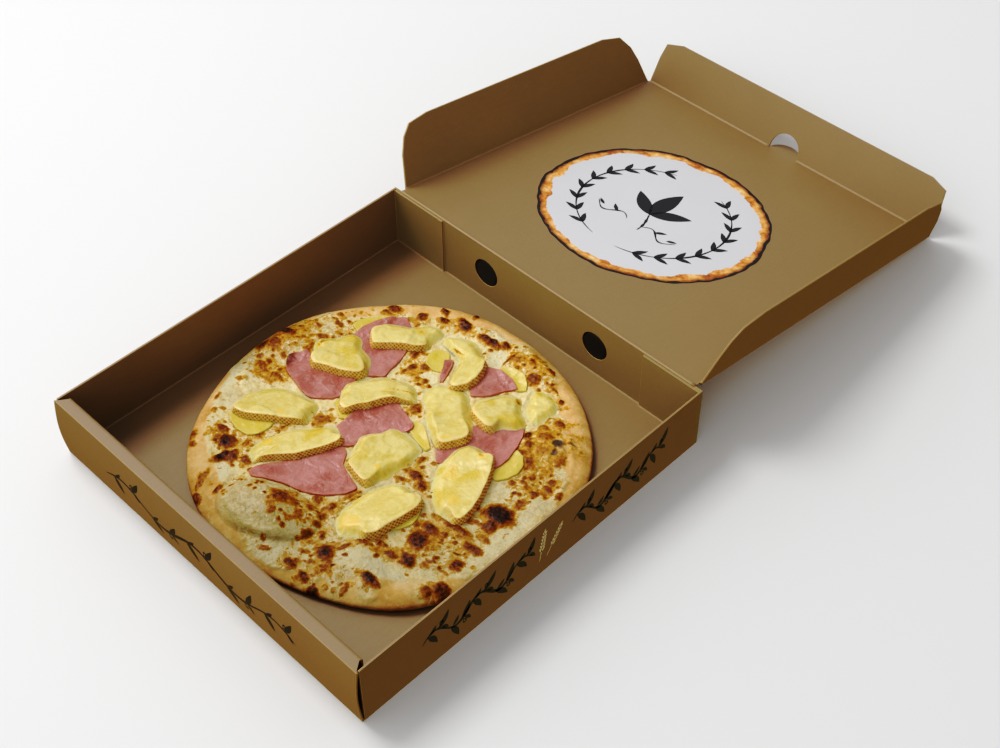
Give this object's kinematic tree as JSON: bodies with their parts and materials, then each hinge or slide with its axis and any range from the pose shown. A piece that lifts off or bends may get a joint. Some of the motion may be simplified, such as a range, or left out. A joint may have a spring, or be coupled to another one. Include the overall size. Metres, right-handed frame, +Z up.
{
  "type": "pizza in its box",
  "caption": "Round baked pizza with ham, potato and soft cheese slices in an open corrugated cardboard folding box whose hinged lid has three tuck-in flaps.",
  "frame": {"origin": "centre of the tray's underside, on the surface it stands on", "axes": "+X to the right along the front wall, +Y from the front wall to the lid's crease, +Z up"},
  "size_m": [0.349, 0.6782, 0.1006],
  "materials": {
    "board": "matte",
    "board_inside": "matte",
    "crust": "matte",
    "potato": "satin",
    "ham": "satin",
    "cheese": "satin"
  },
  "bodies": {
    "tray": {"tray": "board", "front_wall": "board", "pizza_base": "crust", "potato_slice_1": "potato", "potato_slice_2": "potato", "potato_slice_3": "potato", "potato_slice_4": "potato", "potato_slice_5": "potato", "potato_slice_6": "potato", "potato_slice_7": "potato", "potato_slice_8": "potato", "ham_slice_1": "ham", "ham_slice_2": "ham", "ham_slice_3": "ham", "ham_slice_4": "ham", "ham_slice_5": "ham", "ham_slice_6": "ham", "ham_slice_7": "ham", "cheese_slice_01": "cheese", "cheese_slice_02": "cheese", "cheese_slice_03": "cheese", "cheese_slice_04": "cheese", "cheese_slice_05": "cheese", "cheese_slice_06": "cheese", "cheese_slice_07": "cheese", "cheese_slice_08": "cheese", "cheese_slice_09": "cheese", "cheese_slice_10": "cheese", "cheese_slice_11": "cheese", "cheese_slice_12": "cheese"},
    "lid": {"lid": "board_inside"},
    "flap_left": {"flap_left": "board"},
    "flap_right": {"flap_right": "board"},
    "flap_front": {"flap_front": "board"}
  },
  "joints": [
    {"name": "lid_hinge", "type": "hinge", "parent": "tray", "child": "lid", "pos_m": [0, 0.1688, 0.0573], "axis": [1, 0, 0], "range_deg": [0, 189.45]},
    {"name": "flap_left_crease", "type": "hinge", "parent": "lid", "child": "flap_left", "pos_m": [-0.1578, 0.32839, 0.03063], "axis": [0, 0.9864, -0.1642], "range_deg": [0, 29]},
    {"name": "flap_right_crease", "type": "hinge", "parent": "lid", "child": "flap_right", "pos_m": [0.158, 0.32839, 0.03063], "axis": [0, -0.9864, 0.1642], "range_deg": [0, 11.5]},
    {"name": "flap_front_crease", "type": "hinge", "parent": "lid", "child": "flap_front", "pos_m": [0, 0.48592, 0.00441], "axis": [1, 0, 0], "range_deg": [0, 19]}
  ],
  "couplings": [
    {"joint": "flap_left_crease", "follows": "lid_hinge", "ratio": 0.15307},
    {"joint": "flap_right_crease", "follows": "lid_hinge", "ratio": 0.060702},
    {"joint": "flap_front_crease", "follows": "lid_hinge", "ratio": 0.10029}
  ]
}
